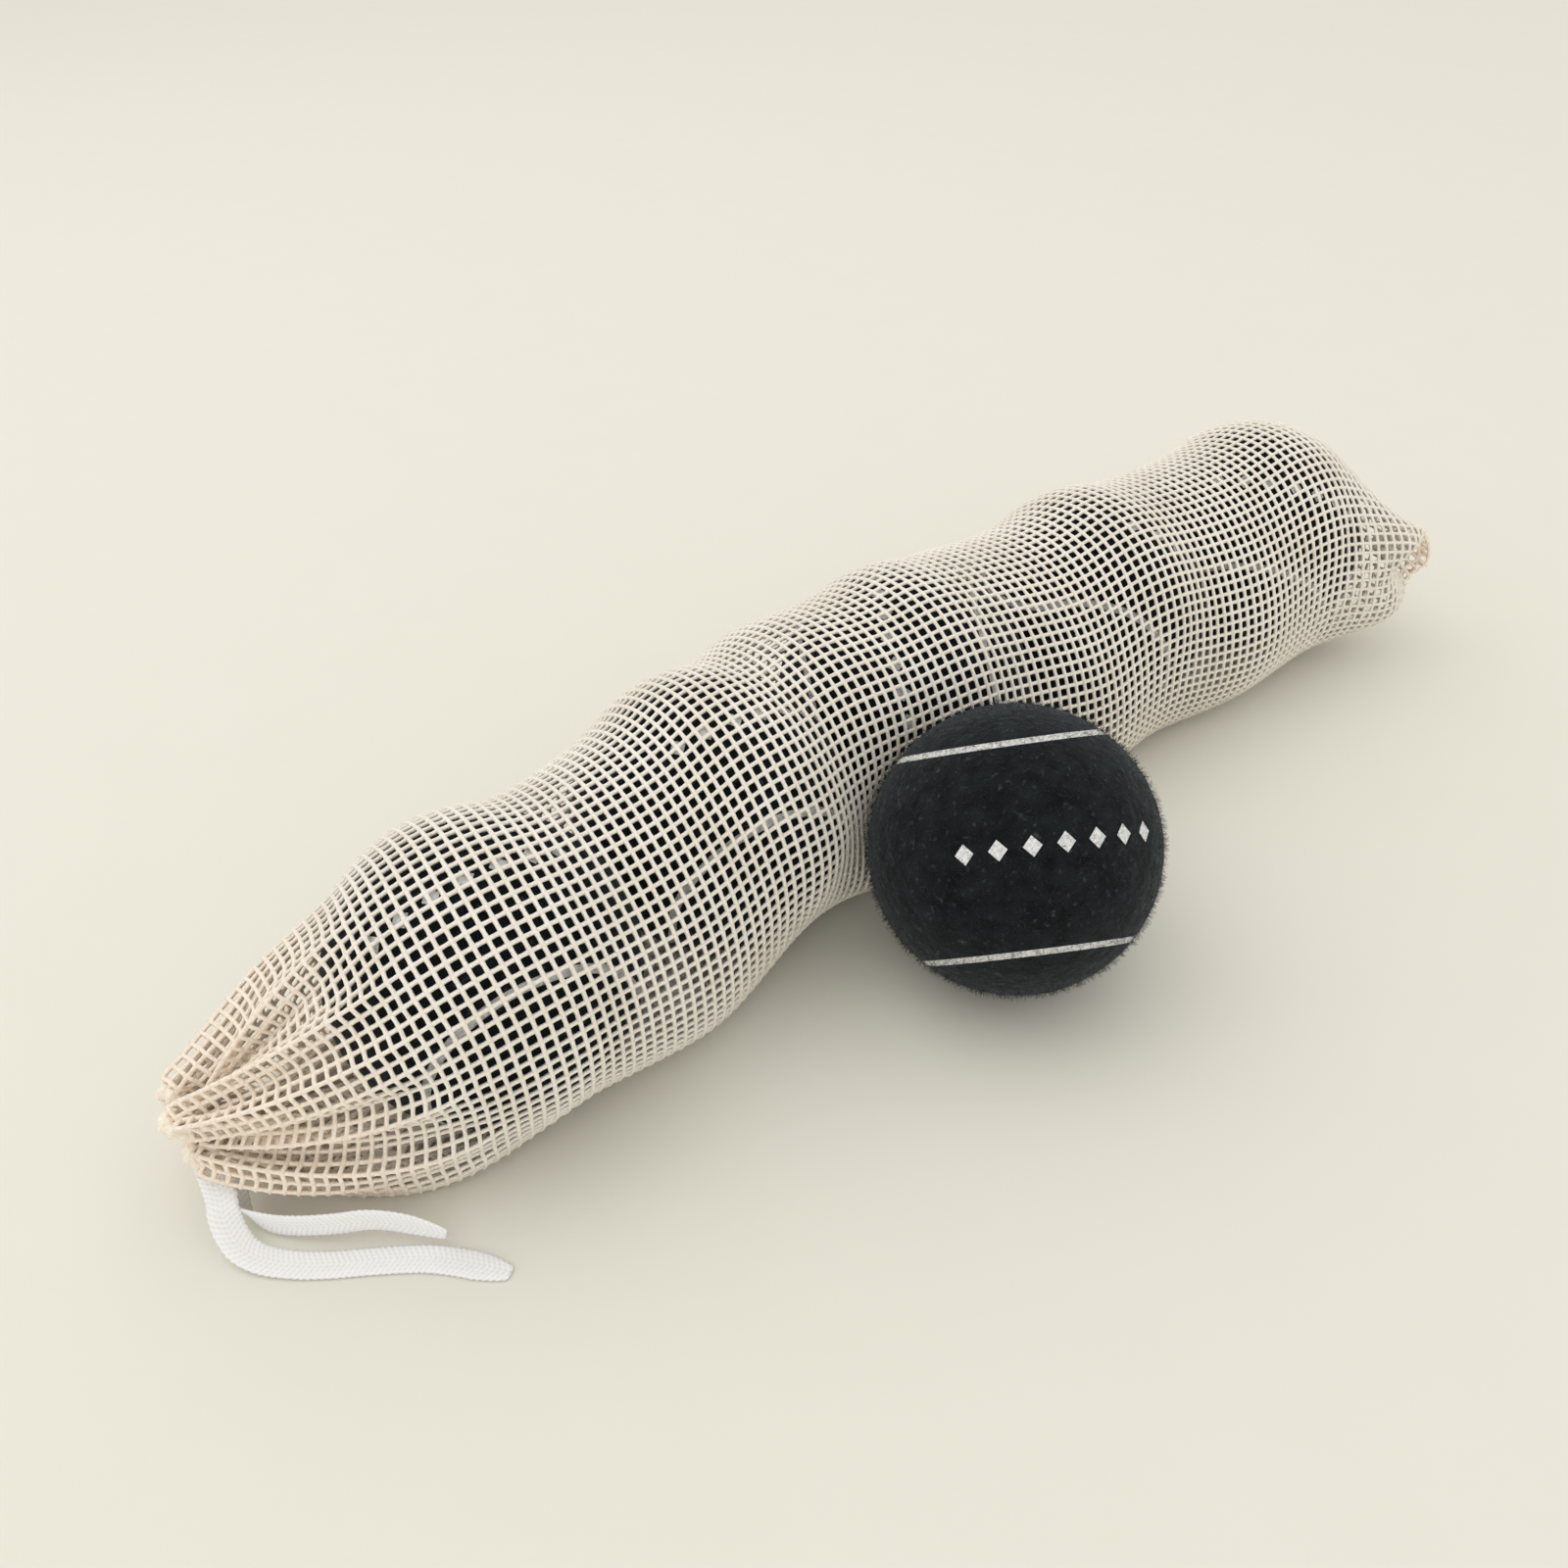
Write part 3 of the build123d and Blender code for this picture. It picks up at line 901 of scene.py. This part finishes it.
@dataclass
class NetBag:
    """The net as pieces that meet at the balls' middles, made of cords along and round the bag."""

    layout: BagLayout
    cloth: NetCloth
    cord_radius: float = 0.00048
    cord_sides: int = 6
    over: float = 0.00012
    knot_swell: float = 1.16
    run_swell: float = 0.94
    seam_still: float = 0.007
    turn_reach: float = 0.034
    # Painted bounce light: how strongly, and over what reach, the net is painted warmer at the
    # gathered mouth and the bottom, for light bounced between stacked folds.
    mouth_bounce_strength: float = 0.95
    mouth_bounce_reach: tuple[float, float] = (0.010, 0.044)
    tail_bounce_strength: float = 0.8
    tail_bounce_reach: tuple[float, float] = (0.024, 0.040)
    knots: np.ndarray = field(default_factory=lambda: np.empty(0))
    outward: np.ndarray = field(default_factory=lambda: np.empty(0))

    def build(self, finish: CottonNetFinish) -> list[bpy.types.Object]:
        """Settles the net and makes each of its pieces.

        Args:
            finish: Finish of the cotton cord.

        Returns:
            The pieces, from the mouth to the bottom.
        """
        material = finish.material()
        tree = cord_tree(material)
        self.knots = self.cloth.settle()
        self.outward = self.normals()
        cuts = [0, *(self.nearest_row(key) for key in BAGGED), self.cloth.rows - 1]
        sizes = {"Cord Radius": self.cord_radius, "Sides": self.cord_sides}
        pieces = []
        for part, low, high in zip(("mouth", "12", "23", "34", "45", "tail"), cuts, cuts[1:]):
            name = f"net_{part}_cords"
            piece = tree.bake(self.wire(name, low, high), name, sizes)
            piece["net_rows"] = high - low
            pieces.append(piece)
            LOG.info("%s: %d rows, %d faces", name, high - low, len(piece.data.polygons))
        self.fasten(pieces)
        return pieces

    def normals(self) -> np.ndarray:
        """Works out which way is outwards.

        Returns:
            Outward direction of the net at each knot.
        """
        across = np.roll(self.knots, -1, axis=1) - np.roll(self.knots, 1, axis=1)
        along = np.gradient(self.knots, axis=0)
        return unit(np.cross(across, along)) * -1.0

    def nearest_row(self, key: str) -> int:
        """Finds the row of knots that lies round a ball's middle.

        Args:
            key: Name of the ball.

        Returns:
            Number of the row.
        """
        number = BAGGED.index(key)
        spots = [self.layout.balls[name] for name in BAGGED]
        axis = unit(spots[min(number + 1, 4)] - spots[max(number - 1, 0)])
        reach = np.mean((self.knots - spots[number]) @ axis, axis=1)
        lo, hi = self.cloth.mouth_rows // 2, self.cloth.rows - 4
        return int(lo + np.argmin(np.abs(reach[lo:hi])))

    def wire(self, name: str, low: int, high: int) -> bpy.types.Object:
        """Wire of the cords of one piece, with separate points for each way they run.

        Args:
            name: Name of the object.
            low: First row of knots.
            high: Last row of knots.

        Returns:
            Object that holds only points and edges.
        """
        lines = []
        out = self.outward * self.over
        rows = slice(low, high + 1)
        for column in range(self.cloth.columns):
            lines.append((Thread.ALONG, self.knots[rows, column] + out[rows, column]))
        for row in range(low if low == 0 else low + 1, high + 1):
            lines.append((Thread.ROUND, self.knots[row] - out[row]))
        points: list[np.ndarray] = []
        edges: list[np.ndarray] = []
        swell: list[np.ndarray] = []
        total = 0
        for way, line in lines:
            closed = way is Thread.ROUND
            fine = self.with_middles(line, closed)
            size = np.where(np.arange(len(fine)) % 2 == 0, self.knot_swell, self.run_swell)
            numbers = total + np.arange(len(fine))
            edges.append(np.stack([numbers[:-1], numbers[1:]], axis=1))
            if closed:
                edges.append(np.array([[numbers[-1], numbers[0]]]))
            points.append(fine)
            swell.append(size)
            total += len(fine)
        places = np.concatenate(points)
        made = new_mesh(name + "_wire", places, np.concatenate(edges))
        set_values(made.data, "swell", np.concatenate(swell))
        # Painted bounce light: warmer cream where the net is gathered at the mouth and the bottom.
        set_values(made.data, "painted_bounce", self.painted_bounce(places))
        return made

    @staticmethod
    def with_middles(line: np.ndarray, closed: bool) -> np.ndarray:
        """Adds one smooth point between neighbouring knots.

        Args:
            line: Places of the knots.
            closed: Whether the last knot is followed by the first.

        Returns:
            Knots and added points in turn.
        """
        if closed:
            before, after, later = (np.roll(line, by, axis=0) for by in (1, -1, -2))
            middle = (9 * (line + after) - before - later) / 16
            return np.stack([line, middle], axis=1).reshape(-1, 3)
        padded = np.concatenate([line[:1], line, line[-1:]])
        middle = (9 * (padded[1:-2] + padded[2:-1]) - padded[:-3] - padded[3:]) / 16
        fine = np.empty((2 * len(line) - 1, 3))
        fine[0::2] = line
        fine[1::2] = middle
        return fine

    def painted_bounce(self, places: np.ndarray) -> np.ndarray:
        """Works out the share of painted bounce light in the net's colour: most where the net is
        gathered at the mouth and the bottom.

        Args:
            places: Places of the points.

        Returns:
            Share of the warmer painted bounce colour at each point.
        """
        mouth = (places - self.layout.balls["1"]) @ self.layout.mouth_axis
        tail = (places - self.layout.balls["5"]) @ self.layout.tail_axis
        mouth_bounce = self.mouth_bounce_strength * between(mouth, *self.mouth_bounce_reach)
        return np.maximum(mouth_bounce, self.tail_bounce_strength * between(tail, *self.tail_bounce_reach))

    def fasten(self, pieces: list[bpy.types.Object]) -> None:
        """Ties the mouth and tail pieces to their bodies, bakes the neck pieces in place, and hides
        the carried-over parts that the pieces replace.

        Args:
            pieces: The pieces, from the mouth to the bottom.
        """
        mouth, first, second, third, fourth, tail = pieces
        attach(mouth, "segment_1")
        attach(tail, "segment_5")
        self.bend(first, "2", "1")
        self.bend(second, "3", "2")
        self.bend(third, "3", "4")
        self.bend(fourth, "4", "5")
        stands_for = (
            (mouth, "1", ("net_mouth", "net_cell_1")),
            (first, "2", ("net_neck_12", "net_cell_2")),
            (second, "3", ("net_neck_23",)),
            (third, "3", ("net_neck_34", "net_cell_3")),
            (fourth, "4", ("net_neck_45", "net_cell_4")),
            (tail, "5", ("net_tail", "net_cell_5", "bottom_seam")),
        )
        for piece, key, nodes in stands_for:
            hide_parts(*nodes)

    def bend(self, piece: bpy.types.Object, parent: str, child: str) -> None:
        """Bakes a piece's placement into its mesh.

        Args:
            piece: Piece that crosses the neck.
            parent: Name of the ball on one side of the neck; not used.
            child: Name of the ball on the other side of the neck; not used.
        """
        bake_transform(piece)


# ---- the hem and the drawstring ----


@dataclass
class Hem:
    """Rolled channel round the gathered mouth."""

    layout: BagLayout
    cloth: NetCloth
    rings: int = 264
    sides: int = 14
    radius: float = 0.0015
    ruffles: int = 44
    ruffle_height: float = 0.20
    squareness: float = 0.10
    # Painted bounce light: a fixed share of the warmer cream over the whole channel.
    hem_bounce_strength: float = 0.7

    def build(self, finish: CottonNetFinish) -> bpy.types.Object:
        """Makes the channel along the gathered edge of the net.

        Args:
            finish: Finish of the cotton.

        Returns:
            The channel.
        """
        turn = TURN * np.arange(self.rings) / self.rings
        line = self.cloth.gathered_ring(turn)
        way = unit(np.roll(line, -1, axis=0) - np.roll(line, 1, axis=0))
        out = square_to(np.broadcast_to(self.layout.mouth_axis, way.shape), way)
        side = np.cross(way, out)
        around = TURN * np.arange(self.sides) / self.sides
        ruffle = self.ruffle_height * np.cos(self.ruffles * turn)
        puff = 1 + ruffle[:, None] + self.squareness * np.cos(3 * around)[None, :]
        size = self.radius * puff[..., None]
        points = (
            line[:, None]
            + out[:, None] * (size * np.cos(around)[None, :, None])
            + side[:, None] * (size * np.sin(around)[None, :, None])
        )
        faces = []
        for ring in range(self.rings):
            after = (ring + 1) % self.rings
            for i in range(self.sides):
                j = (i + 1) % self.sides
                corners = (ring * self.sides + i, ring * self.sides + j)
                faces.append((*corners, after * self.sides + j, after * self.sides + i))
        piece = new_mesh("mouth_hem_channel", points.reshape(-1, 3), faces=faces)
        outward(piece)
        piece.data.materials.append(finish.material())
        piece.data.shade_smooth()
        # Painted bounce light: the channel is painted a fixed share warmer.
        set_values(piece.data, "painted_bounce", np.full(len(piece.data.vertices), self.hem_bounce_strength))
        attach(piece, "segment_1")
        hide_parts("mouth_hem", "drawstring_loop")
        LOG.info("hem: %d faces", len(piece.data.polygons))
        return piece


def outward(piece: bpy.types.Object) -> None:
    """Turns every face of a closed mesh to point out.

    Args:
        piece: Object whose mesh is changed.
    """
    work = bmesh.new()
    work.from_mesh(piece.data)
    bmesh.ops.recalc_face_normals(work, faces=work.faces)
    work.to_mesh(piece.data)
    work.free()


@dataclass
class TapeEnd:
    """One free end of the drawstring: a flat woven tape on a smooth line."""

    layout: BagLayout
    lay: Lay
    route: tuple[Point, ...]
    width: float = 0.0062
    thickness: float = 0.0009
    picot: float = 0.00028
    picot_step: float = 0.0013
    tip: float = 0.007
    tip_share: float = 0.35
    strips: int = 12
    spacing: float = 0.0004
    line_steps: int = 24
    twist_span: tuple[float, float] = (0.08, 0.42)

    def line(self) -> np.ndarray:
        """Reads points from the smooth line along the route.

        Returns:
            Places along the line.
        """
        curve = bpy.data.curves.new("tape_line", "CURVE")
        curve.dimensions = "3D"
        spline = curve.splines.new("NURBS")
        spline.points.add(len(self.route) - 1)
        shift = self.layout.balls["3"] * (1, 1, 0)
        for point, place in zip(spline.points, self.route):
            point.co = (*(np.array(place) * MM + shift), 1)
        spline.order_u = 3
        spline.use_endpoint_u = True
        spline.resolution_u = self.line_steps
        holder = bpy.data.objects.new("tape_line", curve)
        bpy.context.scene.collection.objects.link(holder)
        bpy.context.view_layer.update()
        evaluated = holder.evaluated_get(bpy.context.evaluated_depsgraph_get())
        mesh = bpy.data.meshes.new_from_object(evaluated)
        points = np.array([vertex.co for vertex in mesh.vertices])
        bpy.data.objects.remove(holder)
        bpy.data.meshes.remove(mesh)
        return points

    def build(self, material: bpy.types.Material) -> bpy.types.Object:
        """Args:
            material: Material of the tape.

        Returns:
            The tape.
        """
        line = self.line()
        run = np.concatenate([[0], np.cumsum(np.linalg.norm(np.diff(line, axis=0), axis=1))])
        length = float(run[-1])
        places = np.linspace(0, length, int(length / self.spacing))
        middle = np.stack([np.interp(places, run, line[:, i]) for i in range(3)], axis=1)
        way = unit(np.gradient(middle, axis=0))
        across = self.across(way, places / length)
        face = np.cross(way, across)
        saw = self.picot * (0.5 - 0.5 * np.cos(TURN * places / self.picot_step))
        end = np.clip((length - places) / self.tip, 0, 1)
        taper = self.tip_share + (1 - self.tip_share) * np.sqrt(end)
        half = self.width / 2 * taper + saw - self.picot / 2
        spots, maps = [], []
        top = np.linspace(-1, 1, self.strips + 1)
        edge = np.concatenate([top, top[::-1]])
        level = np.concatenate([np.full(len(top), 0.5), np.full(len(top), -0.5)])
        level = level * np.sqrt(np.clip(1.02 - edge**4, 0.05, 1))
        crown = self.thickness * level
        for i, place in enumerate(places):
            beside = edge * half[i]
            spots.append(middle[i] + np.outer(beside, across[i]) + np.outer(crown, face[i]))
            maps.append(np.stack([np.full(len(edge), place), beside], axis=1))
        name = f"drawstring_tape_{self.lay.value}"
        faces = tube_faces(len(places), len(edge))
        piece = new_mesh(name, np.concatenate(spots), faces=faces)
        chart = np.concatenate(maps)
        layer = piece.data.uv_layers.new(name="tape")
        corners = np.array([loop.vertex_index for loop in piece.data.loops])
        layer.data.foreach_set("uv", chart[corners].astype(np.float32).ravel())
        outward(piece)
        piece.data.materials.append(material)
        piece.data.shade_smooth()
        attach(piece, "segment_1")
        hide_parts(f"drawstring_end_{self.lay.value}")
        LOG.info("%s: %.1f mm long", piece.name, length * 1000)
        return piece

    def across(self, way: np.ndarray, share: np.ndarray) -> np.ndarray:
        """Direction of the tape's width along its length.

        Args:
            way: Direction of the tape at each place.
            share: Share of the length at each place.

        Returns:
            Unit vectors square to the tape's direction.
        """
        level = square_to(np.cross(way, UP), way)
        if self.lay is Lay.FLAT:
            return level
        upright = square_to(np.broadcast_to(UP, way.shape), way)
        part = between(share, *self.twist_span)[:, None]
        return square_to(level * (1 - part) + upright * part, way)


# ---- the balls ----


@dataclass
class FeltBalls:
    """The six balls: carried-over felt panels, seams and marks, with a fuzz of loose fibres."""

    layout: BagLayout
    fuzz_foot: float = 0.0322
    loose_density: float = 666000.0
    bagged_density: float = 110000.0
    fibre_length: float = 0.0014
    fibre_radius: float = 0.000034
    first_seed: int = 40

    def dress(self) -> None:
        """Gives each carried-over piece of the balls its finish."""
        finishes = {
            "felt_panel_a": FeltFinish(),
            "seam": MattFinish(
                name="seam_filler",
                light=(0.80, 0.80, 0.77),
                dark=(0.52, 0.52, 0.50),
                grain_scale=1400.0,
                relief=0.0004,
                roughness=0.9,
            ),
            "core_upper": MattFinish("core_rubber", (0.10, 0.095, 0.09), (0.06, 0.055, 0.05)),
            "core_bond": MattFinish("core_adhesive", (0.5, 0.36, 0.2), (0.34, 0.24, 0.12)),
            "face_mark": MattFinish(
                name="flat_white_ink",
                light=(0.84, 0.84, 0.83),
                dark=(0.60, 0.61, 0.61),
                grain_scale=1800.0,
                relief=0.0002,
                roughness=0.8,
            ),
        }
        made = {piece: finish.material() for piece, finish in finishes.items()}
        made["felt_panel_b"] = made["felt_panel_a"]
        made["core_lower"] = made["core_upper"]
        for key in (*BAGGED, LOOSE):
            for piece, material in made.items():
                mesh = frame["nodes"][f"ball_{key}_{piece}"].data
                mesh.materials.clear()
                mesh.materials.append(material)
        LOG.info("balls dressed: %d", len(BAGGED) + 1)

    def grow_fuzz(self) -> None:
        """Grows the loose fibres of every ball."""
        dark = MattFinish(
            name="felt_fibre",
            light=(0.026, 0.032, 0.036),
            dark=(0.005, 0.007, 0.009),
            grain_scale=300.0,
            relief=0.0,
            roughness=0.9,
            sheen=0.1,
        )
        tree = fuzz_tree(dark.material())
        coats = [(key, f"ball_{key}_fuzz", self.bagged_density) for key in BAGGED]
        coats += [(LOOSE, f"ball_{LOOSE}_fuzz_{coat}", self.loose_density) for coat in "abc"]
        for number, (key, name, density) in enumerate(coats):
            sizes = {
                "Density": density,
                "Fibre Length": self.fibre_length,
                "Fibre Radius": self.fibre_radius,
                "Seed": self.first_seed + number,
            }
            piece = tree.bake(self.foot(key), name, sizes)
            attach(piece, f"ball_{key}")
            LOG.info("%s: %d faces", piece.name, len(piece.data.polygons))

    def foot(self, key: str) -> bpy.types.Object:
        """Makes the globe just under a ball's felt that the fibres grow from.

        Args:
            key: Name of the ball.

        Returns:
            The globe.
        """
        work = bmesh.new()
        place = Matrix.Translation(Vector(self.layout.balls[key]))
        bmesh.ops.create_icosphere(work, subdivisions=4, radius=self.fuzz_foot, matrix=place)
        mesh = bpy.data.meshes.new(f"ball_{key}_foot")
        work.to_mesh(mesh)
        work.free()
        made = bpy.data.objects.new(mesh.name, mesh)
        bpy.context.scene.collection.objects.link(made)
        return made


# ---- floor, lights and camera ----


@dataclass
class Studio:
    """Pale floor, soft light and the camera."""

    camera_place: Point = (-0.218719, -0.215081, 0.234095)
    camera_right: Point = (0.75102, -0.65891, -0.04253)
    camera_up: Point = (0.42092, 0.42814, 0.79970)
    lens: float = 32.225
    floor_side: float = 6.0
    room_colour: Colour = (1.0, 0.985, 0.96)
    room_strength: float = 0.93

    def build(self, layout: BagLayout) -> None:
        """Makes the floor, the lights and the camera.

        Args:
            layout: Where the object is.
        """
        self.floor()
        self.lights(layout)
        self.camera(layout)

    def floor(self) -> None:
        """Lays the floor."""
        half = self.floor_side / 2
        corners = [(-half, -half, 0), (half, -half, 0), (half, half, 0), (-half, half, 0)]
        plane = new_mesh("studio_floor", np.array(corners), faces=[(0, 1, 2, 3)])
        paper = MattFinish(
            name="studio_paper",
            light=(0.80, 0.785, 0.70),
            dark=(0.795, 0.78, 0.695),
            grain_scale=40.0,
            relief=0.0,
            roughness=0.9,
        )
        plane.data.materials.append(paper.material())

    def lights(self, layout: BagLayout) -> None:
        """Hangs two large soft lights in a bright even room.

        Args:
            layout: Where the object is.
        """
        world = bpy.data.worlds.new("room")
        world.use_nodes = True
        background = world.node_tree.nodes["Background"]
        set_inputs(background, {"Color": (*self.room_colour, 1), "Strength": self.room_strength})
        bpy.context.scene.world = world
        middle = Vector(layout.balls["3"])
        for name, place, side, watts in (
            ("key_light", (-0.5, 0.7, 1.5), 1.4, 4.5),
            ("fill_light", (-0.9, -0.9, 1.0), 1.0, 0.8),
        ):
            lamp = bpy.data.lights.new(name, "AREA")
            lamp.shape = "SQUARE"
            lamp.size = side
            lamp.energy = watts
            holder = bpy.data.objects.new(name, lamp)
            holder.location = place
            holder.rotation_mode = "QUATERNION"
            holder.rotation_quaternion = (middle - Vector(place)).to_track_quat("-Z", "Y")
            bpy.context.scene.collection.objects.link(holder)
        bpy.context.scene.view_settings.view_transform = "Standard"

    def camera(self, layout: BagLayout) -> None:
        """Sets up the camera above the mouth end of the bag.

        Args:
            layout: Where the object is.
        """
        right, up = Vector(self.camera_right).normalized(), Vector(self.camera_up)
        back = right.cross(up).normalized()
        up = back.cross(right)
        middle = layout.balls["3"]
        place = Vector(self.camera_place) + Vector((middle[0], middle[1], 0))
        data = bpy.data.cameras.new("camera")
        data.lens = self.lens
        data.sensor_width = 36.0
        data.clip_start = 0.01
        holder = bpy.data.objects.new("camera", data)
        turn = Matrix((right, up, back)).transposed()
        holder.matrix_world = Matrix.Translation(place) @ turn.to_4x4()
        bpy.context.scene.collection.objects.link(holder)
        bpy.context.scene.camera = holder


# Routes of the drawstring's two ends, in mm from the floor under the middle ball.
ARCHED_ROUTE = (
    (-193.261, 3.390, 15.182),
    (-192.318, 0.883, 7.857),
    (-193.489, -6.539, 4.0),
    (-191.489, -14.039, 3.4),
    (-182.989, -24.039, 5.4),
    (-172.989, -31.039, 6.2),
    (-165.989, -40.539, 3.4),
)
FLAT_ROUTE = (
    (-194.242, 1.142, 16.666),
    (-194.839, -5.490, 10.913),
    (-197.489, -9.539, 5.0),
    (-196.989, -17.039, 1.1),
    (-188.989, -26.539, 0.6),
    (-177.489, -35.039, 0.6),
    (-167.489, -43.539, 0.6),
    (-160.789, -54.639, 0.6),
)


def main() -> None:
    """Builds every piece in order."""
    logging.basicConfig(level=logging.INFO, format="%(name)s: %(message)s")
    layout = BagLayout()
    Studio().build(layout)
    tape = TapeFinish().material()
    for lay, route in ((Lay.ON_EDGE, ARCHED_ROUTE), (Lay.FLAT, FLAT_ROUTE)):
        TapeEnd(layout, lay, route).build(tape)
    balls = FeltBalls(layout)
    balls.dress()
    balls.grow_fuzz()
    cloth = NetCloth(layout)
    NetBag(layout, cloth).build(CottonNetFinish())
    Hem(layout, cloth).build(CottonNetFinish(name="hem_cotton"))


if __name__ == "__main__":
    main()
